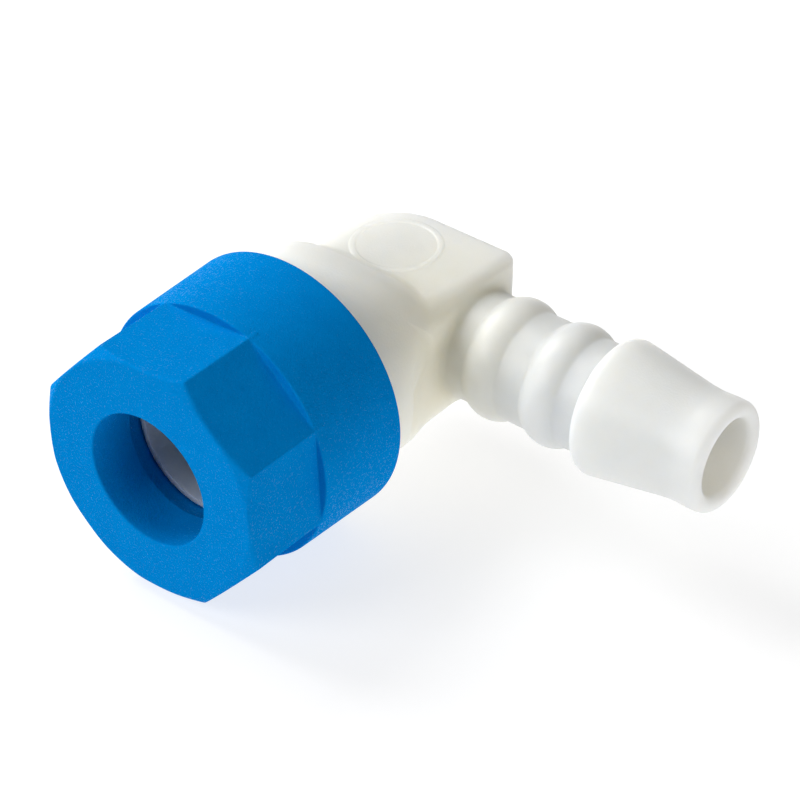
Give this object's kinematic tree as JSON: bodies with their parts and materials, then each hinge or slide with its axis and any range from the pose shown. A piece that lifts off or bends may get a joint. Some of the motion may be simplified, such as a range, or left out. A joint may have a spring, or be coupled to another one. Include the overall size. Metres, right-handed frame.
{
  "type": "push to connect fitting",
  "caption": "Push-to-connect elbow: a pipe port under a screwed union nut, with a clamp ring and seals inside, turned through a right angle into a ribbed hose barb.",
  "frame": {"origin": "centre of the pipe port's mouth, in the plane of the union nut's front face", "axes": "-Y is the way the pipe leaves the port, +X the way the hose leaves along the barb, +Z out of the flat pad"},
  "size_m": [0.0477, 0.0387, 0.0246],
  "materials": {
    "white_plastic": "satin natural acetal, slightly see-through",
    "blue_plastic": "fine spark-eroded texture, satin",
    "steel": "bright stamped strip",
    "black_rubber": "smooth, slightly greased"
  },
  "bodies": {
    "body": {"elbow_body": "white_plastic", "front_seal": "black_rubber", "seal_spacer": "white_plastic", "rear_seal": "black_rubber"},
    "cartridge": {"thrust_ring": "white_plastic"},
    "nut": {"union_nut": "blue_plastic"},
    "grip": {"clamp_ring": "white_plastic", "grab_ring": "steel"}
  },
  "joints": [
    {"name": "nut_advance", "type": "slide", "parent": "body", "child": "cartridge", "axis": [0, -1, 0], "range_m": [0, 0.0038]},
    {"name": "nut_turn", "type": "hinge", "parent": "cartridge", "child": "nut", "pos_m": [0, 0, 0], "axis": [0, -1, 0], "range_deg": [0, 900]},
    {"name": "clamp_float", "type": "slide", "parent": "cartridge", "child": "grip", "axis": [0, -1, 0], "range_m": [0, 0.0005]}
  ],
  "couplings": [
    {"joint": "nut_advance", "follows": "nut_turn", "m_per_rad": 0.00023873}
  ]
}
